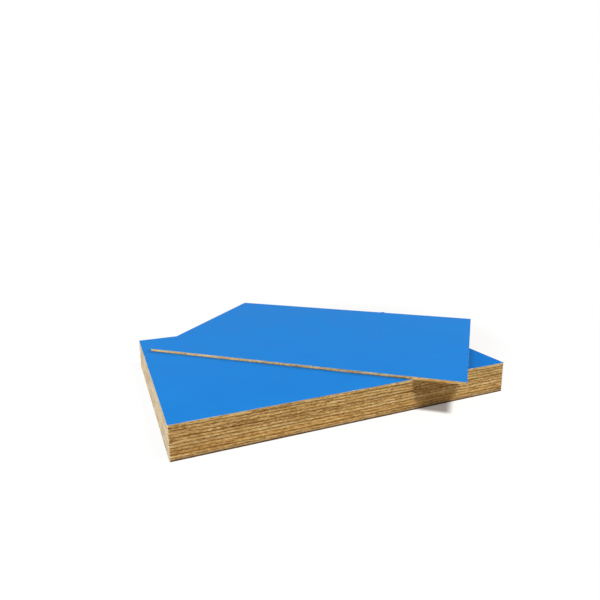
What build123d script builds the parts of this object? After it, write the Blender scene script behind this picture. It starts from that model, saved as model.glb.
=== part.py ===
from build123d import *
import os
from math import cos, radians, sin

# Stack of hardboard sheets: a squared pile of like sheets, with one more lying askew on top.
# Millimetres, +Z up. The origin is the centre of the pile's underside, on the floor.
# X runs along the long side of the pile and Y along its short side, away from the front.

# One sheet, cut to the A4 size from standard thin board
SHEET_LENGTH = 297.0
SHEET_WIDTH = 210.0
SHEET_THICKNESS = 2.5
ARRIS = 0.3  # the sawn corners of the section are sanded off by this much

# The pile, squared up by hand, so that no two edges are quite flush
PILE_SHEETS = 11
PILE_SLIP = 0.1  # how far a sheet's centre lies from the pile's centre
PILE_TURN = 0.02  # degrees, the most that a sheet is turned in the pile
STEP_ROUND = 137.5  # degrees from one sheet's slip to the next, so that they never line up

# The askew sheet, placed by its centre on the pile's top
ASKEW_X = 39.8
ASKEW_Y = 43.0
ASKEW_TURN = -41.5  # degrees about +Z


def lying_plane(x, y, z, turn):
    """The plane of a sheet's underside, with its own X along the sheet's long side."""
    return Plane(
        origin=(x, y, z),
        x_dir=(cos(radians(turn)), sin(radians(turn)), 0),
        z_dir=(0, 0, 1),
    )


def write_sheet(name, underside):
    """Makes one sheet on the plane of its underside: a sawn rectangle with its arrises taken off."""
    with BuildPart() as sheet:
        with BuildSketch(underside):
            Rectangle(SHEET_LENGTH, SHEET_WIDTH)
        extrude(amount=SHEET_THICKNESS)
        painted_and_bare_face = sheet.faces().filter_by(Axis.Z)
        chamfer(painted_and_bare_face.edges(), ARRIS)
    sheet.part.label = name
    export_step(sheet.part, f"parts/{name}.step")


os.makedirs("parts", exist_ok=True)

# The lowest sheet lies true on the origin, and each one above it slips a different way
for layer in range(PILE_SHEETS):
    slip = PILE_SLIP if layer else 0.0
    bearing = radians(STEP_ROUND * layer)
    write_sheet(
        f"pile_sheet_{layer + 1:02d}",
        lying_plane(
            slip * cos(bearing),
            slip * sin(bearing),
            layer * SHEET_THICKNESS,
            PILE_TURN * sin(2 * bearing),
        ),
    )

pile_height = PILE_SHEETS * SHEET_THICKNESS
write_sheet("askew_sheet", lying_plane(ASKEW_X, ASKEW_Y, pile_height, ASKEW_TURN))
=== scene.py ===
# %% [markdown]
# # A stack of hardboard sheets
# Eleven thin boards lie squared on each other, and a twelfth lies askew on top of them.
# Each board is pressed wood fibre with one face painted blue, and its edges are bare and sawn.
# The solids come from the CAD frame. This lesson gives them sawn edges, paint, light and a camera.

# %% Load the frame
import math
import bpy
import numpy as np
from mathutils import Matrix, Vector


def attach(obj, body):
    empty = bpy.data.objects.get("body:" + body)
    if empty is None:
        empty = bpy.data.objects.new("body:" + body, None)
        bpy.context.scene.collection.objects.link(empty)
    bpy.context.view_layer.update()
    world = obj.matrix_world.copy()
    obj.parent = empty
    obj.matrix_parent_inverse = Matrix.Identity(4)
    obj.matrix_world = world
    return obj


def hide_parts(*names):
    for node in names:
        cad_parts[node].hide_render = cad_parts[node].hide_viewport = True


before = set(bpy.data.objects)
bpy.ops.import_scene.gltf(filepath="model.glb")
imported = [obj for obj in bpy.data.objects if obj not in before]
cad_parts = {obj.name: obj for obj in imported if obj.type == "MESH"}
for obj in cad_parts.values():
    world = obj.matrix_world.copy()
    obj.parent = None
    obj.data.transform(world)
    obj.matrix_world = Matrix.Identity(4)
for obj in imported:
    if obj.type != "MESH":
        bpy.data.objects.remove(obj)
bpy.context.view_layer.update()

# %% [markdown]
# ## Where each sheet lies
# The CAD node of a sheet is a plain plate with its sharp corners sanded off.
# Its largest upright face is a long side, so that face's normal tells how the sheet is turned.
# Measuring the plate along and across that direction gives the sheet's size and place.
# Reading them here means that the numbers are never typed twice.

# %% Measure the CAD plates


def measure_sheet(plate):
    """Size, place and turn of one lying sheet, in metres and radians."""
    points = np.array([vertex.co for vertex in plate.data.vertices])
    upright = [face for face in plate.data.polygons if abs(face.normal.z) < 0.1]
    long_side = max(upright, key=lambda face: face.area)
    along = np.array([-long_side.normal.y, long_side.normal.x])
    along *= 1 if along[0] > 0 else -1
    across = np.array([-along[1], along[0]])
    run = points[:, :2] @ along
    breadth = points[:, :2] @ across
    levels = points[:, 2]
    underside = levels.min()
    centre = along * (run.max() + run.min()) / 2 + across * (breadth.max() + breadth.min()) / 2
    return {
        "length": float(np.ptp(run)),
        "width": float(np.ptp(breadth)),
        "thickness": float(np.ptp(levels)),
        "arris": float(levels[levels > underside + 1e-5].min() - underside),
        "place": (float(centre[0]), float(centre[1]), float(underside)),
        "turn": math.atan2(along[1], along[0]),
    }


sheets = {name: measure_sheet(plate) for name, plate in sorted(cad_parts.items())}
for name, sheet in sheets.items():
    print(name, {key: np.round(value, 5).tolist() for key, value in sheet.items()})

# %% [markdown]
# ## Small helpers for node trees
# Geometry Nodes and shader nodes are built the same way: add a node, set its options, and then
# give each input a plain value or a link. One helper does that, so each later line is one node.
# Pressed fibre lies flat, so most noises here are long and low: a grain of some millimetres along
# the board and a fraction of one up it. The last helper makes such a noise for either kind of tree.

# %% Node helpers


def add(tree, kind, inputs=None, **options):
    """Adds one node. An input may be a plain value or another node's output."""
    made = tree.nodes.new(kind)
    for option, value in options.items():
        setattr(made, option, value)
    for socket, value in (inputs or {}).items():
        if isinstance(value, bpy.types.NodeSocket):
            tree.links.new(value, made.inputs[socket])
        else:
            made.inputs[socket].default_value = value
    return made


def calc(tree, operation, *values):
    """One Math node, with up to three values or links."""
    return add(tree, "ShaderNodeMath", dict(enumerate(values)), operation=operation).outputs[0]


def ease(tree, value, start, end):
    """0 at start and 1 at end, with a soft change between them."""
    limits = {"Value": value, "From Min": start, "From Max": end}
    return add(tree, "ShaderNodeMapRange", limits, interpolation_type="SMOOTHSTEP").outputs[0]


def grain(tree, place, seed, along, up, detail=2.0, roughness=0.5):
    """Noise with a grain of along by up metres, different for each seed."""
    sizes = (1 / along, 1 / along, 1 / up)
    scaled = add(tree, "ShaderNodeVectorMath", {0: place, 1: sizes}, operation="MULTIPLY").outputs[0]
    values = {"Vector": scaled, "W": seed, "Scale": 1.0, "Detail": detail, "Roughness": roughness}
    return add(tree, "ShaderNodeTexNoise", values, noise_dimensions="4D").outputs[0]


# %% [markdown]
# ## The pressed fibre
# Hardboard is wet wood fibre pressed hot and hard, so the fibres lie flat, one on another.
# A sawn edge cuts across them and shows short level dashes, dark resin and pale broken ends.
# Noise squashed flat in height gives that at any side of the board, with no seam at the corners.
# The edge, the bare back and the chipped rim of the paint all show fibre, so it is a node group.

# %% Shader group for pressed fibre
SPECKS_PER_METRE = (330.0, 330.0, 1400.0)


def fibre_group():
    """Level fibres: a tone from dark to pale, dark specks, and a height for bump."""
    tree = bpy.data.node_groups.new("pressed fibre", "ShaderNodeTree")
    tree.interface.new_socket("Place", in_out="INPUT", socket_type="NodeSocketVector")
    tree.interface.new_socket("Seed", in_out="INPUT", socket_type="NodeSocketFloat")
    for output in ("Tone", "Specks", "Height"):
        tree.interface.new_socket(output, in_out="OUTPUT", socket_type="NodeSocketFloat")
    given = tree.nodes.new("NodeGroupInput")
    place = given.outputs["Place"]
    seed = given.outputs["Seed"]

    layers = grain(tree, place, seed, 0.012, 0.0010, 3.0, 0.55)
    strands = grain(tree, place, seed, 0.0030, 0.00065, 4.0, 0.6)
    tone = calc(tree, "MULTIPLY_ADD", layers, 0.35, calc(tree, "MULTIPLY", strands, 0.65))
    sharpened = ease(tree, tone, 0.34, 0.66)

    squashed = add(tree, "ShaderNodeVectorMath", {0: place, 1: SPECKS_PER_METRE}, operation="MULTIPLY")
    flat_cells = {"Vector": squashed.outputs[0], "W": seed, "Scale": 1.0}
    cells = add(tree, "ShaderNodeTexVoronoi", flat_cells, voronoi_dimensions="4D")
    chance = add(tree, "ShaderNodeSeparateColor", {0: cells.outputs["Color"]}).outputs[0]
    core = ease(tree, cells.outputs["Distance"], 0.42, 0.2)
    specks = calc(tree, "MULTIPLY", ease(tree, chance, 0.72, 0.8), core)
    height = calc(tree, "SUBTRACT", strands, calc(tree, "MULTIPLY", specks, 0.3))
    add(tree, "NodeGroupOutput", {"Tone": sharpened, "Specks": specks, "Height": height})
    return tree


pressed_fibre = fibre_group()
print("group:", pressed_fibre.name, len(pressed_fibre.nodes), "nodes")

# %% [markdown]
# ## Materials that know their sheet
# Boards cut from different panels differ a little in colour, and each has lain in its own place.
# So every sheet carries marks of its own as attributes, and one material can serve them all.
# The place of each point on the sheet before it was laid down makes the fibre turn with the board.
# A number seeds the noise, and other marks tell how worn, warm, pale or dusty the board is, how strong
# a painted contact shadow it takes where it rests on what lies below it, and whether another board lies
# on its paint, round which painted shade is laid.

# %% Start of a sheet material
SEED_SPREAD = 61.0


def new_material(name, roughness, specular):
    """An empty Principled material, with its shader's plain values set on the shader itself."""
    material = bpy.data.materials.new(name)
    material.use_nodes = True
    shader = material.node_tree.nodes["Principled BSDF"]
    shader.inputs["Roughness"].default_value = roughness
    shader.inputs["Specular IOR Level"].default_value = specular
    return material, material.node_tree, shader


def sheet_mark(tree, name):
    """One of the plain values that a sheet carries, such as its number or its wear."""
    return add(tree, "ShaderNodeAttribute", attribute_name="sheet_" + name).outputs["Fac"]


def read_sheet(tree):
    """The place on the sheet, the sheet's seed, and the pressed fibre there."""
    place = add(tree, "ShaderNodeAttribute", attribute_name="sheet_place").outputs["Vector"]
    seed = calc(tree, "MULTIPLY", sheet_mark(tree, "number"), SEED_SPREAD)
    fibre = add(tree, "ShaderNodeGroup", node_tree=pressed_fibre)
    tree.links.new(place, fibre.inputs["Place"])
    tree.links.new(seed, fibre.inputs["Seed"])
    return place, seed, fibre


def ramp(tree, factor, *stops):
    """A colour ramp through (position, linear colour) stops."""
    made = add(tree, "ShaderNodeValToRGB", {0: factor})
    points = made.color_ramp.elements
    while len(points) < len(stops):
        points.new(0.5)
    for point, (position, colour) in zip(points, stops):
        point.position = position
        point.color = (*colour, 1)
    return made.outputs[0]


def blend(tree, factor, share, first, second, mode="MIX"):
    """Mixes two colours, each a link or a plain linear colour. Share is how far a full factor goes."""
    amount = calc(tree, "MULTIPLY", factor, share)
    made = add(tree, "ShaderNodeMix", {0: amount}, data_type="RGBA", blend_type=mode)
    for socket, colour in ((made.inputs[6], first), (made.inputs[7], second)):
        if isinstance(colour, bpy.types.NodeSocket):
            tree.links.new(colour, socket)
        else:
            socket.default_value = (*colour, 1)
    return made.outputs[2]


def bump(tree, shader, height, strength, depth):
    """Bumps the shader's normal by a height of 0 to 1 that is depth metres tall."""
    made = add(tree, "ShaderNodeBump", {"Height": height, "Strength": strength, "Distance": depth})
    tree.links.new(made.outputs[0], shader.inputs["Normal"])


# %% [markdown]
# ## The colour of bare fibre
# Under the press the fibre browns unevenly, so a board's edge is mottled and not striped.
# Each board adds its own tint: some are golden, one is paler, and the lowest has greyed with dust.
# Longer dull patches lie over the strands, where the saw has burnished the fibre.

# %% Bare fibre colour


def fibre_colour(tree, place, seed, fibre):
    """Strands from dark to pale, the board's own tint, and dull patches."""
    tone = calc(tree, "ADD", fibre.outputs["Tone"], sheet_mark(tree, "paleness"))
    colour = ramp(tree, tone,
                  (0.0, (0.310, 0.143, 0.033)), (0.30, (0.640, 0.370, 0.114)),
                  (0.60, (0.850, 0.565, 0.210)), (1.0, (0.980, 0.790, 0.440)))
    colour = blend(tree, sheet_mark(tree, "warmth"), 0.6, colour, (0.98, 0.84, 0.58), "MULTIPLY")
    colour = blend(tree, sheet_mark(tree, "dustandshade"), 0.5, colour, (0.56, 0.47, 0.35))
    patches = ease(tree, grain(tree, place, seed, 0.035, 0.004), 0.45, 0.7)
    return blend(tree, patches, 0.6, colour, (0.68, 0.60, 0.52), "MULTIPLY")


# %% [markdown]
# ## The sawn edge
# The short ends are paler than the long sides: partly the paler fibre of a cut across the panel, and
# partly a painted sheen of a brightly lit side.
# The two pressed skins of a board are denser and darker than its core. The joint below them is darkened
# with dirt and with painted shade. Along the pile that dark joint comes and goes, as the boards touch
# or gape, and where the top board hangs over there is none. Along the long sides of the lowest board
# and the askew one it is strengthened into a painted contact shadow.
# The corner under the paint is sanded and pale, because there the fibres are loose.
# The height within the sheet tells skin, joint and corner apart.

# %% Sawn edge material
LENGTH = sheets["askew_sheet"]["length"]
THICKNESS = sheets["askew_sheet"]["thickness"]
ARRIS = sheets["askew_sheet"]["arris"]
CUT_END = (0.0012, 0.0006)  # metres in from the end where the pale end, cut fibre and painted sheen, starts and where it is full
SKIN = (0.28, 0.44)  # shares of the thickness, from its middle, where a skin starts and is full
REST_FADE = 0.004  # metres over which the dark joint of dirt and painted shade fades on either side of where a rest ends
DUST_SHADE_REACH = 0.0028  # metres that a fully dusty board adds to the height of its dark joint and painted contact shadow
WORN_CORNER = (2.6, 1.2)  # arrises below the top where the wear starts and where it is full
print("board, metres:", round(LENGTH, 4), "long and", round(THICKNESS, 4), "thick")


def edge_marks(tree, place, seed, fibre, colour):
    """Pale ends of cut fibre and painted sheen, dark skins and specks, joints dark with dirt and
    painted shade, and the worn corner under the paint.
    """
    axes = add(tree, "ShaderNodeSeparateXYZ", {0: place})
    height = axes.outputs["Z"]
    to_end = calc(tree, "ABSOLUTE", axes.outputs["X"])
    pale_end_sheen = ease(tree, to_end, LENGTH / 2 - CUT_END[0], LENGTH / 2 - CUT_END[1])
    # Painted sheen: the short ends are made paler, partly as cut fibre and partly as the sheen of a
    # brightly lit side seen at a slant.
    colour = blend(tree, pale_end_sheen, 0.85, colour, (0.80, 0.70, 0.50))
    from_middle = calc(tree, "ABSOLUTE", calc(tree, "SUBTRACT", height, THICKNESS / 2))
    skin = ease(tree, from_middle, SKIN[0] * THICKNESS, SKIN[1] * THICKNESS)
    colour = blend(tree, skin, 0.2, colour, (0.42, 0.33, 0.24), "MULTIPLY")
    colour = blend(tree, fibre.outputs["Specks"], 0.45, colour, (0.13, 0.055, 0.015))

    # The joint is darkened by dirt and painted shade where boards gape, and by a painted contact shadow
    # where a board presses on what lies below.
    open_joint = ease(tree, grain(tree, place, seed, 0.022, 0.022), 0.4, 0.65)
    gaping = calc(tree, "MULTIPLY_ADD", open_joint, 0.4, 0.1)
    long_side = calc(tree, "MULTIPLY_ADD", pale_end_sheen, -0.8, 1.0)
    painted_contact_shadow = calc(tree, "MULTIPLY", sheet_mark(tree, "contactshade"), long_side)
    past_rest = calc(tree, "SUBTRACT", axes.outputs["X"], sheet_mark(tree, "rests"))
    resting = ease(tree, past_rest, REST_FADE, -REST_FADE)
    dirt_and_shade = calc(tree, "MULTIPLY", calc(tree, "MAXIMUM", gaping, painted_contact_shadow), resting)
    # Dust makes the painted contact shadow at the board's foot taller.
    reach = calc(tree, "MULTIPLY_ADD", sheet_mark(tree, "dustandshade"), DUST_SHADE_REACH, 1.2 * ARRIS)
    low = ease(tree, height, reach, calc(tree, "MULTIPLY", reach, 0.6))
    joint_dirt_and_shade = calc(tree, "MULTIPLY", low, dirt_and_shade)
    colour = blend(tree, joint_dirt_and_shade, 1.0, colour, (0.14, 0.09, 0.05), "MULTIPLY")
    wear_start = THICKNESS - WORN_CORNER[0] * ARRIS
    wear_full = THICKNESS - WORN_CORNER[1] * ARRIS
    top_corner = ease(tree, height, wear_start, wear_full)
    worn = calc(tree, "MULTIPLY", top_corner, sheet_mark(tree, "wear"))
    return blend(tree, worn, 0.85, colour, (0.92, 0.86, 0.70))


def sawn_edge():
    """Bare fibre of the four sawn sides."""
    material, tree, shader = new_material("sawn fibre edge", 0.72, 0.2)
    shader.inputs["Sheen Weight"].default_value = 0.4
    shader.inputs["Sheen Roughness"].default_value = 0.4
    shader.inputs["Sheen Tint"].default_value = (1.0, 0.95, 0.86, 1)
    place, seed, fibre = read_sheet(tree)
    colour = fibre_colour(tree, place, seed, fibre)
    colour = edge_marks(tree, place, seed, fibre, colour)
    tree.links.new(colour, shader.inputs["Base Color"])
    rough = calc(tree, "MULTIPLY_ADD", fibre.outputs["Tone"], 0.16, 0.56)
    tree.links.new(rough, shader.inputs["Roughness"])
    bump(tree, shader, fibre.outputs["Height"], 0.55, 0.00025)
    return material


# %% [markdown]
# ## The blue face
# The paint is a thin satin film, rolled on before the boards were cut, so it is very even.
# What keeps it from looking like plastic is slight: a faint cloudiness, the roller's fine stipple,
# and a rim where the saw lifted flakes of paint and the pale fibre shows.
# At the right end of the pile's top board, beside the askew board, the blue is darkened as painted
# shade.
# A fine dark line round the askew board is a painted contact shadow. A Mapping node turns the place
# into the askew board's own directions, so that the line follows its sides.
# The rim is found from the distance to the nearest side, which wobbles with a noise.
# Boards inside the pile get a wider bare rim, so that no blue line shows between two boards.

# %% Rim, painted shade and painted contact shadow
WIDTH = sheets["askew_sheet"]["width"]
SHADE_END = (0.085, 0.112)  # metres along the board where the painted shade at its right end starts and where it is full
SHADE_LINE = (-0.0070, -0.0010)  # metres from the askew board's rim where the painted contact shadow starts and where it is full


def inside_rim(tree, place):
    """Metres from a place to the nearest rim of a board's face, and below zero outside the face."""
    axes = add(tree, "ShaderNodeSeparateXYZ", {0: place})
    to_end = calc(tree, "SUBTRACT", LENGTH / 2 - ARRIS, calc(tree, "ABSOLUTE", axes.outputs["X"]))
    to_side = calc(tree, "SUBTRACT", WIDTH / 2 - ARRIS, calc(tree, "ABSOLUTE", axes.outputs["Y"]))
    return calc(tree, "MINIMUM", to_end, to_side)


def painted_shade_round_top_board(tree, place, colour):
    """Painted shade: deeper blue at the board's right end, and a dark painted contact shadow round the
    board that lies on top.
    """
    covered = sheet_mark(tree, "covered")
    along = add(tree, "ShaderNodeSeparateXYZ", {0: place}).outputs["X"]
    # Painted shade: the blue darkens towards the right end of the board.
    painted_shade_end = calc(tree, "MULTIPLY", ease(tree, along, *SHADE_END), covered)
    colour = blend(tree, painted_shade_end, 1.0, colour, (0.10, 0.84, 0.94), "MULTIPLY")
    turned = {"Vector": place, "Location": sheets["askew_sheet"]["place"],
              "Rotation": (0.0, 0.0, sheets["askew_sheet"]["turn"])}
    on_top = add(tree, "ShaderNodeMapping", turned, vector_type="TEXTURE").outputs[0]
    # Painted contact shadow: a dark line round the askew board.
    painted_shade_line = calc(tree, "MULTIPLY", ease(tree, inside_rim(tree, on_top), *SHADE_LINE), covered)
    return blend(tree, painted_shade_line, 1.0, colour, (0.80, 0.72, 0.70), "MULTIPLY")


# %% Painted face material
LEAST_RIM = 0.00002  # bare rim of a board whose paint is seen, in metres
HIDDEN_RIM = 0.0006  # what a board inside the pile adds to that
FLAKE = 0.0003  # how far the flakes of paint that came off reach in from the rim
CHIP_EDGE = 0.00012  # width over which the film's broken edge thins out


def blue_paint():
    """Satin blue film with a chipped rim."""
    material, tree, shader = new_material("blue painted face", 0.55, 0.03)
    place, seed, fibre = read_sheet(tree)
    to_rim = inside_rim(tree, place)
    cloud = grain(tree, place, seed, 0.036, 0.036, 3.0)
    colour = ramp(tree, cloud, (0.25, (0.0095, 0.191, 0.588)), (0.75, (0.0115, 0.209, 0.630)))
    colour = painted_shade_round_top_board(tree, place, colour)
    flakes = ease(tree, grain(tree, place, seed, 0.0016, 0.0016, 3.0), 0.5, 0.75)
    inside = ease(tree, sheet_mark(tree, "wear"), 0.2, 0.1)
    bare = calc(tree, "MULTIPLY_ADD", inside, HIDDEN_RIM, LEAST_RIM)
    reach = calc(tree, "MULTIPLY_ADD", flakes, FLAKE, bare)
    chipped = ease(tree, calc(tree, "SUBTRACT", reach, to_rim), 0.0, CHIP_EDGE)
    pale_fibre = ramp(tree, fibre.outputs["Tone"], (0.0, (0.33, 0.20, 0.08)), (1.0, (0.66, 0.50, 0.28)))
    colour = blend(tree, chipped, 1.0, colour, pale_fibre)
    tree.links.new(colour, shader.inputs["Base Color"])
    rough = calc(tree, "MULTIPLY_ADD", cloud, 0.12, 0.48)
    tree.links.new(rough, shader.inputs["Roughness"])

    stipple = grain(tree, place, seed, 0.0011, 0.0011)
    bump(tree, shader, calc(tree, "SUBTRACT", stipple, chipped), 0.12, 0.00006)
    return material


# %% [markdown]
# ## The bare back
# The board is pressed against a wire screen, which lets the water out of the wet fibre.
# The back keeps the screen's small square mesh, and it is darker and duller than a sawn edge.
# Two sets of waves crossed at right angles give the mesh, and the fibre runs through it.

# %% Bare back material
SCREEN_PITCH = 0.0022


def bare_back():
    """Screen back of the board, bare and brown."""
    material, tree, shader = new_material("bare screen back", 0.8, 0.3)
    place, seed, fibre = read_sheet(tree)
    axes = add(tree, "ShaderNodeSeparateXYZ", {0: place})
    turns = 2 * math.pi / SCREEN_PITCH
    warp = calc(tree, "SINE", calc(tree, "MULTIPLY", axes.outputs["X"], turns))
    weft = calc(tree, "SINE", calc(tree, "MULTIPLY", axes.outputs["Y"], turns))
    mesh = calc(tree, "MULTIPLY_ADD", calc(tree, "MULTIPLY", warp, weft), 0.5, 0.5)
    cloud = grain(tree, place, seed, 0.022, 0.022, 4.0)
    tone = calc(tree, "MULTIPLY_ADD", cloud, 0.7, calc(tree, "MULTIPLY", fibre.outputs["Tone"], 0.3))
    colour = ramp(tree, tone, (0.2, (0.17, 0.085, 0.032)), (0.8, (0.33, 0.185, 0.078)))
    colour = blend(tree, mesh, 0.35, colour, (0.55, 0.48, 0.42), "MULTIPLY")
    colour = blend(tree, fibre.outputs["Specks"], 0.4, colour, (0.09, 0.042, 0.015))
    tree.links.new(colour, shader.inputs["Base Color"])
    rough = calc(tree, "MULTIPLY_ADD", mesh, 0.12, 0.74)
    tree.links.new(rough, shader.inputs["Roughness"])
    bump(tree, shader, mesh, 0.6, 0.00018)
    return material


finishes = {"Paint": blue_paint(), "Edge": sawn_edge(), "Back": bare_back()}
print("materials:", [material.name for material in finishes.values()])

# %% [markdown]
# ## The sheet itself, in Geometry Nodes
# A saw leaves an edge that is never a perfect plane: fibres tear out, and the corners are nicked.
# All twelve sheets follow that one rule and differ only in place, turn and marks, so one tree makes
# them. It draws the outline, fills it and pulls it up row by row, as a board grows in the press.
# Then it moves the points of the sides inwards by noise. Nothing moves outwards, so a sheet never
# leaves its CAD plate and never cuts into its neighbour, and both faces stay flat.

# %% Inputs of the sheet tree
SHEET_MARKS = ("Number", "Wear", "Warmth", "Paleness", "DustAndShade", "ContactShade", "Rests", "Covered")
SHEET_INPUTS = {
    "Length": "NodeSocketFloat", "Width": "NodeSocketFloat", "Thickness": "NodeSocketFloat",
    "Arris": "NodeSocketFloat", "Columns": "NodeSocketInt", "Tear Depth": "NodeSocketFloat",
    "Nick Depth": "NodeSocketFloat", "Arris Wander": "NodeSocketFloat",
    **{mark: "NodeSocketFloat" for mark in SHEET_MARKS},
    "Place": "NodeSocketVector", "Turn": "NodeSocketVector",
    "Paint": "NodeSocketMaterial", "Edge": "NodeSocketMaterial", "Back": "NodeSocketMaterial",
}
sheet_tree = bpy.data.node_groups.new("sawn sheet", "GeometryNodeTree")
for socket, kind in SHEET_INPUTS.items():
    sheet_tree.interface.new_socket(socket, in_out="INPUT", socket_type=kind)
sheet_tree.interface.new_socket("Sheet", in_out="OUTPUT", socket_type="NodeSocketGeometry")
given = sheet_tree.nodes.new("NodeGroupInput").outputs
print("sheet tree inputs:", list(SHEET_INPUTS))

# %% Outline, face and rows of the sides
SIDE_ROWS = 6


def point_from(tree, x, y, z):
    """A vector from three values or links."""
    return add(tree, "ShaderNodeCombineXYZ", {"X": x, "Y": y, "Z": z}).outputs[0]


def vector(tree, operation, *values):
    """One Vector Math node, with up to two vectors or links."""
    return add(tree, "ShaderNodeVectorMath", dict(enumerate(values)), operation=operation).outputs[0]


def pull_up(tree, mesh, rise, factor=None):
    """Pulls the face up by rise, and then widens or narrows it by a factor on each axis."""
    upwards = point_from(tree, 0, 0, 1)
    lift = {"Mesh": mesh, "Offset": upwards, "Offset Scale": rise, "Individual": False}
    pulled = add(tree, "GeometryNodeExtrudeMesh", lift).outputs
    if factor is None:
        return pulled["Mesh"]
    scaled = vector(tree, "MULTIPLY", tree.nodes.new("GeometryNodeInputPosition").outputs[0], factor)
    place = {"Geometry": pulled["Mesh"], "Selection": pulled["Top"], "Position": scaled}
    return add(tree, "GeometryNodeSetPosition", place).outputs[0]


bevel = calc(sheet_tree, "MULTIPLY", given["Arris"], 2.0)
face_length = calc(sheet_tree, "SUBTRACT", given["Length"], bevel)
face_width = calc(sheet_tree, "SUBTRACT", given["Width"], bevel)
face_size = point_from(sheet_tree, face_length, face_width, 1)
full_size = point_from(sheet_tree, given["Length"], given["Width"], 1)
face_sides = {"Width": face_length, "Height": face_width}
outline = add(sheet_tree, "GeometryNodeCurvePrimitiveQuadrilateral", face_sides).outputs[0]
cuts = {"Curve": outline, "Cuts": given["Columns"]}
columns = add(sheet_tree, "GeometryNodeSubdivideCurve", cuts).outputs[0]
underside = add(sheet_tree, "GeometryNodeFillCurve", {"Curve": columns}, mode="NGONS").outputs[0]
straight = calc(sheet_tree, "SUBTRACT", given["Thickness"], bevel)
row_height = calc(sheet_tree, "DIVIDE", straight, float(SIDE_ROWS))
to_full = vector(sheet_tree, "DIVIDE", full_size, face_size)
to_face = vector(sheet_tree, "DIVIDE", face_size, full_size)
board = pull_up(sheet_tree, underside, given["Arris"], to_full)
for row in range(SIDE_ROWS):
    board = pull_up(sheet_tree, board, row_height)
board = pull_up(sheet_tree, board, given["Arris"], to_face)
back_face = add(sheet_tree, "GeometryNodeFlipFaces", {"Mesh": underside}).outputs[0]
both = sheet_tree.nodes.new("GeometryNodeJoinGeometry")
sheet_tree.links.new(back_face, both.inputs[0])
sheet_tree.links.new(board, both.inputs[0])
weld = {"Geometry": both.outputs[0], "Distance": 1e-6}
closed = add(sheet_tree, "GeometryNodeMergeByDistance", weld).outputs[0]
print("rows from face to face:", SIDE_ROWS + 2)

# %% [markdown]
# ## Torn fibres and nicked corners
# Three noises move the points. Long flat tears follow the fibres along the sides. Nicks bite into
# the sanded corners here and there. And the corner itself wanders up and down a little, so the
# joint between two sheets is not a ruled line but opens and closes along the pile.
# The place and the marks are stored before the points move, so the materials keep a true measure.

# %% Store the marks
spot = sheet_tree.nodes.new("GeometryNodeInputPosition").outputs[0]
stored = add(sheet_tree, "GeometryNodeStoreNamedAttribute",
             {"Geometry": closed, "Name": "sheet_place", "Value": spot},
             data_type="FLOAT_VECTOR", domain="POINT").outputs[0]
for mark in SHEET_MARKS:
    stored = add(sheet_tree, "GeometryNodeStoreNamedAttribute",
                 {"Geometry": stored, "Name": "sheet_" + mark.lower(), "Value": given[mark]},
                 data_type="FLOAT", domain="POINT").outputs[0]
print("marks kept on each point:", 1 + len(SHEET_MARKS))

# %% Rough the sides
CORNER = (0.30, 0.37)  # shares of the thickness, from its middle, where a corner starts and is full
FACE = (0.46, 0.49)  # and where the flat face starts and is full
seed = calc(sheet_tree, "MULTIPLY", given["Number"], SEED_SPREAD)
level = add(sheet_tree, "ShaderNodeSeparateXYZ", {0: spot}).outputs["Z"]
from_middle = calc(sheet_tree, "SUBTRACT", calc(sheet_tree, "DIVIDE", level, given["Thickness"]), 0.5)
share = calc(sheet_tree, "ABSOLUTE", from_middle)
corner = ease(sheet_tree, share, *CORNER)
flat_face = ease(sheet_tree, share, *FACE)


def bite(offset, along, up, start, end, depth):
    """How far a noise bites into the board: nothing below start, and its full depth above end."""
    noise = grain(sheet_tree, spot, calc(sheet_tree, "ADD", seed, offset), along, up)
    return calc(sheet_tree, "MULTIPLY", ease(sheet_tree, noise, start, end), depth)


tears = bite(offset=0.0, along=0.0060, up=0.0006, start=0.35, end=0.75, depth=given["Tear Depth"])
nicks = bite(offset=5.0, along=0.0025, up=0.0040, start=0.60, end=0.78, depth=given["Nick Depth"])
wander = bite(offset=9.0, along=0.0200, up=0.0100, start=0.35, end=0.70, depth=given["Arris Wander"])
inward = calc(sheet_tree, "MULTIPLY_ADD", nicks, corner, tears)
facing = sheet_tree.nodes.new("GeometryNodeInputNormal").outputs[0]
outward = vector(sheet_tree, "NORMALIZE", vector(sheet_tree, "MULTIPLY", facing, (1, 1, 0)))
press = {0: outward, "Scale": calc(sheet_tree, "MULTIPLY", inward, -1.0)}
pressed = add(sheet_tree, "ShaderNodeVectorMath", press, operation="SCALE").outputs[0]
towards_face = calc(sheet_tree, "SIGN", from_middle)
groove = calc(sheet_tree, "MULTIPLY", wander, calc(sheet_tree, "SUBTRACT", flat_face, corner))
sunk = point_from(sheet_tree, 0, 0, calc(sheet_tree, "MULTIPLY", towards_face, groove))
shift = {"Geometry": stored, "Offset": vector(sheet_tree, "ADD", pressed, sunk)}
rough_board = add(sheet_tree, "GeometryNodeSetPosition", shift).outputs[0]
print("noises on the sides: tears, nicks and the wander of the corner")

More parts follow.
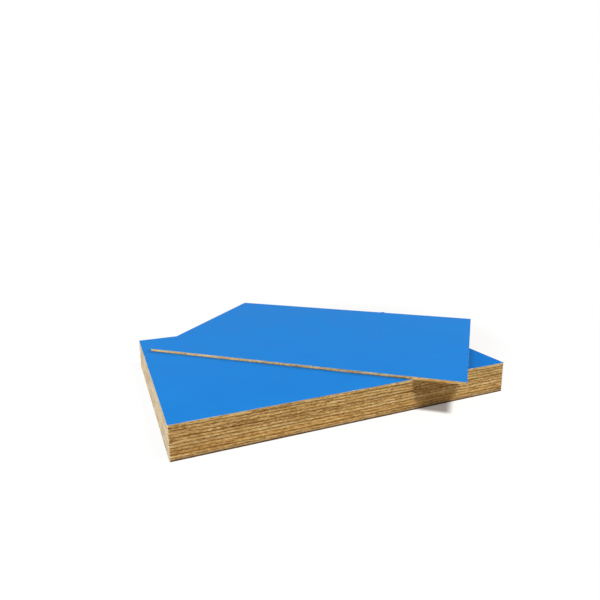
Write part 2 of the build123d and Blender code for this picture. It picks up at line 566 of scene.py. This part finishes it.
# %% Finish the tree: smooth sides, place and materials
FLAT = 0.95  # a normal that points up or down by more than this belongs to one of the two faces
tilt = add(sheet_tree, "ShaderNodeSeparateXYZ", {0: facing}).outputs["Z"]
looks_up = calc(sheet_tree, "GREATER_THAN", tilt, FLAT)
looks_down = calc(sheet_tree, "LESS_THAN", tilt, -FLAT)
is_side = calc(sheet_tree, "LESS_THAN", calc(sheet_tree, "ABSOLUTE", tilt), FLAT)
smoothing = {"Geometry": rough_board, "Shade Smooth": is_side}
shaded = add(sheet_tree, "GeometryNodeSetShadeSmooth", smoothing, domain="FACE").outputs[0]
laid = add(sheet_tree, "GeometryNodeTransform",
           {"Geometry": shaded, "Translation": given["Place"], "Rotation": given["Turn"]}).outputs[0]
done = add(sheet_tree, "GeometryNodeRealizeInstances", {"Geometry": laid}).outputs[0]
for selection, finish in ((True, "Edge"), (looks_up, "Paint"), (looks_down, "Back")):
    done = add(sheet_tree, "GeometryNodeSetMaterial",
               {"Geometry": done, "Selection": selection, "Material": given[finish]}).outputs[0]
add(sheet_tree, "NodeGroupOutput", {"Sheet": done})
print("sheet tree:", len(sheet_tree.nodes), "nodes")

# %% [markdown]
# ## A map that gives the thin edges room
# When the materials are baked, each sheet gets one square picture. An edge is only a hundredth as tall
# as the sheet is wide, and an automatic map would leave it a few pixels. So the map is laid out here:
# each side gets a tall strip of its own, and the two faces share the rest.

# %% Bake map
STRIP = 0.07  # height of a side's strip, as a share of the map
STRIP_STEP = 0.08  # from one strip to the next
MAP_MARGIN = 0.004
PAINT_MIDDLE = 0.25  # where the middle of each face lies across the map
BACK_MIDDLE = 0.75


def lay_bake_map(mesh, sheet):
    """Lays the four sides as strips and the two faces side by side, in a UV map for baking."""
    place = np.zeros(len(mesh.vertices) * 3)
    mesh.attributes["sheet_place"].data.foreach_get("vector", place)
    place = place.reshape(-1, 3)
    corner_point = np.zeros(len(mesh.loops), int)
    mesh.loops.foreach_get("vertex_index", corner_point)
    face_of = np.zeros(len(mesh.loops), int)
    for face in mesh.polygons:
        face_of[face.loop_start:face.loop_start + face.loop_total] = face.index
    count = np.bincount(face_of)
    middle = np.stack([np.bincount(face_of, place[corner_point, axis]) / count for axis in range(3)], 1)
    half_length = sheet["length"] / 2
    half_width = sheet["width"] / 2
    to_sides = np.stack([middle[:, 1] + half_width, half_length - middle[:, 0],
                         half_width - middle[:, 1], half_length + middle[:, 0]], 1)
    side = to_sides.argmin(1)[face_of]
    finish = np.zeros(len(mesh.polygons), int)
    mesh.polygons.foreach_get("material_index", finish)
    names = [material.name for material in mesh.materials]
    is_edge = (finish == names.index(finishes["Edge"].name))[face_of]
    is_paint = (finish == names.index(finishes["Paint"].name))[face_of]

    x, y, z = place[corner_point].T
    run = np.where(side % 2 == 0, x / sheet["length"], y / sheet["width"]) + 0.5
    strip_u = MAP_MARGIN + run * (1 - 2 * MAP_MARGIN)
    strip_v = MAP_MARGIN + side * STRIP_STEP + z / sheet["thickness"] * STRIP
    scale = (1 - 4 * STRIP_STEP - 2 * MAP_MARGIN) / sheet["length"]
    face_u = np.where(is_paint, PAINT_MIDDLE, BACK_MIDDLE) + y * scale
    face_v = 4 * STRIP_STEP + MAP_MARGIN + (x + half_length) * scale
    spots = np.stack([np.where(is_edge, strip_u, face_u), np.where(is_edge, strip_v, face_v)], 1)
    mesh.uv_layers.new(name="OFBake").data.foreach_set("uv", spots.ravel())


# %% [markdown]
# ## Make the twelve sheets
# Each sheet is an empty object with the tree on it. Blender evaluates it once, the result becomes a
# plain mesh, and the tree is taken off again. The new piece stands for its CAD node and rides on the
# same body.
# The marks say which boards stand out: golden ones low in the pile, a pale one half way up with darker
# ones above it, a dusty one on the floor, and a worn rim on the two whose paint is seen. A painted
# contact shadow runs all along under the lowest board, taller there for its dust, and under the askew
# one as far as it rests.

# %% Marks of each sheet
RIM_WEAR = {"pile_sheet_11": 1.0, "askew_sheet": 0.3}
PALENESS = {
    "pile_sheet_05": 0.10, "pile_sheet_06": -0.08, "pile_sheet_07": -0.14,
    "pile_sheet_08": -0.12, "pile_sheet_09": -0.03, "pile_sheet_10": -0.06,
}
# Dust greys the lowest board and makes its painted contact shadow taller.
DUST_AND_SHADE = {"pile_sheet_01": 0.4}
# How strong the painted contact shadow is along each board's long sides.
CONTACT_SHADE = {"pile_sheet_01": 0.92, "askew_sheet": 0.85}
RESTS_UP_TO = {"askew_sheet": 0.104}  # metres along the board's front edge, from its middle
ALL_ALONG = 1.0  # further than any board reaches
# The board under the askew one takes painted shade at its end and round the askew board.
COVERED = {"pile_sheet_11": 1.0}
WARM_LEVEL = 0.0065  # height of the most golden boards above the floor
WARM_REACH = 0.0060  # how far above and below that the gold fades out


def marks_of(name, sheet, number):
    """The plain values that one sheet carries."""
    middle = sheet["place"][2] + sheet["thickness"] / 2
    return {
        "Number": number,
        "Wear": RIM_WEAR.get(name, 0.0),
        "Warmth": max(0.0, 1 - abs(middle - WARM_LEVEL) / WARM_REACH),
        "Paleness": PALENESS.get(name, 0.0),
        "DustAndShade": DUST_AND_SHADE.get(name, 0.0),
        "ContactShade": CONTACT_SHADE.get(name, 0.0),
        "Rests": RESTS_UP_TO.get(name, ALL_ALONG),
        "Covered": COVERED.get(name, 0.0),
    }


# %% Make the sheets
COLUMNS = 299
TEAR_DEPTH = 0.00010
NICK_DEPTH = 0.00025
ARRIS_WANDER = 0.00022
GOLDEN_STEP = 0.618
sockets = [item for item in sheet_tree.interface.items_tree if item.in_out == "INPUT"]
identifiers = {socket.name: socket.identifier for socket in sockets}


def make_sheet(name, sheet, number):
    """One finished sheet in place of its CAD plate."""
    carrier = bpy.data.objects.new(name + "_carrier", bpy.data.meshes.new(name + "_carrier"))
    bpy.context.scene.collection.objects.link(carrier)
    modifier = carrier.modifiers.new("sawn sheet", "NODES")
    modifier.node_group = sheet_tree
    values = {
        "Length": sheet["length"], "Width": sheet["width"], "Thickness": sheet["thickness"],
        "Arris": sheet["arris"], "Columns": COLUMNS, "Tear Depth": TEAR_DEPTH, "Nick Depth": NICK_DEPTH,
        "Arris Wander": ARRIS_WANDER, "Place": sheet["place"], "Turn": (0.0, 0.0, sheet["turn"]),
        **marks_of(name, sheet, number), **finishes,
    }
    for socket, value in values.items():
        modifier[identifiers[socket]] = value
    view = bpy.context.evaluated_depsgraph_get()
    mesh = bpy.data.meshes.new_from_object(carrier.evaluated_get(view), depsgraph=view)
    bpy.data.objects.remove(carrier)
    mesh.materials.pop(index=0)  # Set Material leaves an empty first slot
    mesh.name = "sheet_" + name
    lay_bake_map(mesh, sheet)
    piece = bpy.data.objects.new("sheet_" + name, mesh)
    bpy.context.scene.collection.objects.link(piece)
    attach(piece, "root")
    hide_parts(name)
    return piece


for index, (name, sheet) in enumerate(sheets.items()):
    piece = make_sheet(name, sheet, (index * GOLDEN_STEP) % 1)
    triangles = sum(len(face.vertices) - 2 for face in piece.data.polygons)
    print(piece.name, triangles, "triangles", [material.name for material in piece.data.materials])

# %% [markdown]
# ## Floor and surroundings
# The stack lies on a white floor that runs into a white background with no horizon.
# Under the overhanging corners, at the front and at the back, the floor is an ordinary matt white
# that takes the shadow. Away from them it turns into plain white, but only for rays that show it:
# those from the camera, and those in a reflection. So the surroundings are white without any more
# light on the boards. For the light that it throws back on them the floor is darker and warmer, as
# a plain workbench would be, or the shadow under the overhanging corner would fill up with white.

# %% Floor
FLOOR_SIZE = 40.0
FLOOR_DROP = 0.00005
floor_mesh = bpy.data.meshes.new("floor")
half = FLOOR_SIZE / 2
floor_corners = [(-half, -half, 0), (half, -half, 0), (half, half, 0), (-half, half, 0)]
floor_mesh.from_pydata(floor_corners, [], [(0, 1, 2, 3)])
floor = bpy.data.objects.new("floor", floor_mesh)
bpy.context.scene.collection.objects.link(floor)
floor.location.z = -FLOOR_DROP
print("floor:", FLOOR_SIZE, "m across")

# %% Floor material
SHADOW_LIFT = 0.17
OPEN_LIFT = 0.95
FRONT_SHADOW = ((0.072, -0.115, 0.0), 0.03, 0.09)  # its middle, and the radii where it thins out
BACK_SHADOW = ((0.100, 0.110, 0.0), 0.165, 0.20)
FAR_FLOOR = (0.20, 0.45)  # metres from the stack's middle over which the floor turns plain white
SHOWN_WHITE = (0.95, 0.95, 0.95)
BOUNCE_TINT = (0.48, 0.44, 0.37)


def shown(tree):
    """1 for rays that show a surface, straight or in a reflection, and 0 for the light it gives."""
    path = add(tree, "ShaderNodeLightPath").outputs
    mirrored = calc(tree, "MAXIMUM", path["Is Glossy Ray"], path["Is Transmission Ray"])
    return calc(tree, "MAXIMUM", path["Is Camera Ray"], mirrored)


floor_white, tree, shader = new_material("matt white floor", 0.9, 0.0)
around = add(tree, "ShaderNodeTexCoord").outputs["Object"]
from_stack = add(tree, "ShaderNodeVectorMath", {0: around}, operation="LENGTH").outputs["Value"]
far = ease(tree, from_stack, *FAR_FLOOR)
open_floor = 1.0
for middle, start, end in (FRONT_SHADOW, BACK_SHADOW):
    ends = {0: around, 1: middle}
    apart = add(tree, "ShaderNodeVectorMath", ends, operation="DISTANCE").outputs["Value"]
    open_floor = calc(tree, "MULTIPLY", ease(tree, apart, start, end), open_floor)
near_lift = calc(tree, "MULTIPLY_ADD", open_floor, OPEN_LIFT - SHADOW_LIFT, SHADOW_LIFT)
lift = calc(tree, "MULTIPLY_ADD", far, calc(tree, "SUBTRACT", 1.0, near_lift), near_lift)
showing = shown(tree)
floor_colour = blend(tree, showing, 1.0, BOUNCE_TINT, SHOWN_WHITE)
tree.links.new(floor_colour, shader.inputs["Base Color"])
plain_white = add(tree, "ShaderNodeEmission", {"Strength": 1.0}).outputs[0]
layers = {0: calc(tree, "MULTIPLY", lift, showing), 1: shader.outputs[0], 2: plain_white}
floor_mix = add(tree, "ShaderNodeMixShader", layers).outputs[0]
tree.links.new(floor_mix, tree.nodes["Material Output"].inputs["Surface"])
floor_mesh.materials.append(floor_white)
print("floor lift:", SHADOW_LIFT, "in the shadow and", OPEN_LIFT, "in the open")

# %% Surroundings
AMBIENT = 0.13
AMBIENT_TINT = (1.0, 0.93, 0.84, 1)
world = bpy.data.worlds.new("white surroundings")
world.use_nodes = True
bpy.context.scene.world = world
tree = world.node_tree
tree.nodes.clear()
soft = add(tree, "ShaderNodeBackground", {"Color": AMBIENT_TINT, "Strength": AMBIENT}).outputs[0]
bright = add(tree, "ShaderNodeBackground", {"Color": (1, 1, 1, 1), "Strength": 1.0}).outputs[0]
mixed = add(tree, "ShaderNodeMixShader", {0: shown(tree), 1: soft, 2: bright}).outputs[0]
add(tree, "ShaderNodeOutputWorld", {"Surface": mixed})
print("ambient light:", AMBIENT)

# %% [markdown]
# ## Studio light
# The overhanging corner throws its shadow almost straight down, a little back and to the left.
# So the main light is a small softbox nearly overhead, leaning to the front right.
# A wide, low softbox on the left brightens the short side and only grazes the blue faces.
# A lamp's level says how bright it makes a white face turned to it, whatever its size and distance.

# %% Lights
AIM = (0.03, -0.02, 0.02)


def softbox(name, direction, distance, width, height, level):
    """A lamp aimed at the stack. Level is how bright it makes a white face turned to it."""
    towards = np.array(direction) / np.linalg.norm(direction)
    lamp = bpy.data.lights.new(name, "AREA")
    lamp.shape = "RECTANGLE"
    lamp.size = width
    lamp.size_y = height
    lamp.energy = level * math.pi ** 2 * distance ** 2
    light = bpy.data.objects.new(name, lamp)
    bpy.context.scene.collection.objects.link(light)
    light.location = np.array(AIM) + towards * distance
    light.rotation_euler = Vector(-towards).to_track_quat("-Z", "Y").to_euler()
    print(name, "at", np.round(light.location, 3).tolist(), "energy", round(lamp.energy, 2))


softbox("main softbox", direction=(0.250, -0.392, 0.886), distance=2.86,
        width=0.53, height=0.53, level=0.98)
softbox("left softbox", direction=(-1.0, 0.10, 0.18), distance=1.3,
        width=0.70, height=0.10, level=0.87)

# %% [markdown]
# ## Camera
# The camera's place was found by matching the visible edges of the sheets in the photograph.
# It stands in front and to the left, a little above the pile, and looks slightly down.
# The small shift is the picture's centre being off the lens's own axis.

# %% Camera
PICTURE = 600.0
FOCAL_PIXELS = 498.8
AXIS_PIXEL = (322.3, 298.7)
CAMERA_PLACE = (-0.1816, -0.4280, 0.1826)
LOOKS_DOWN = 12.49  # degrees below level
LOOKS_RIGHT = 24.58  # degrees to the right of straight at the pile's front
lens = bpy.data.cameras.new("camera")
lens.sensor_width = 36.0
lens.lens = lens.sensor_width * FOCAL_PIXELS / PICTURE
lens.shift_x = (PICTURE / 2 - AXIS_PIXEL[0]) / PICTURE
lens.shift_y = (AXIS_PIXEL[1] - PICTURE / 2) / PICTURE
lens.clip_start = 0.01
camera = bpy.data.objects.new("camera", lens)
bpy.context.scene.collection.objects.link(camera)
camera.location = CAMERA_PLACE
camera.rotation_euler = (math.radians(90 - LOOKS_DOWN), 0, math.radians(-LOOKS_RIGHT))
bpy.context.scene.camera = camera
bpy.context.scene.view_settings.view_transform = "Standard"
print("lens:", round(lens.lens, 2), "mm, shift", round(lens.shift_x, 4), round(lens.shift_y, 4))
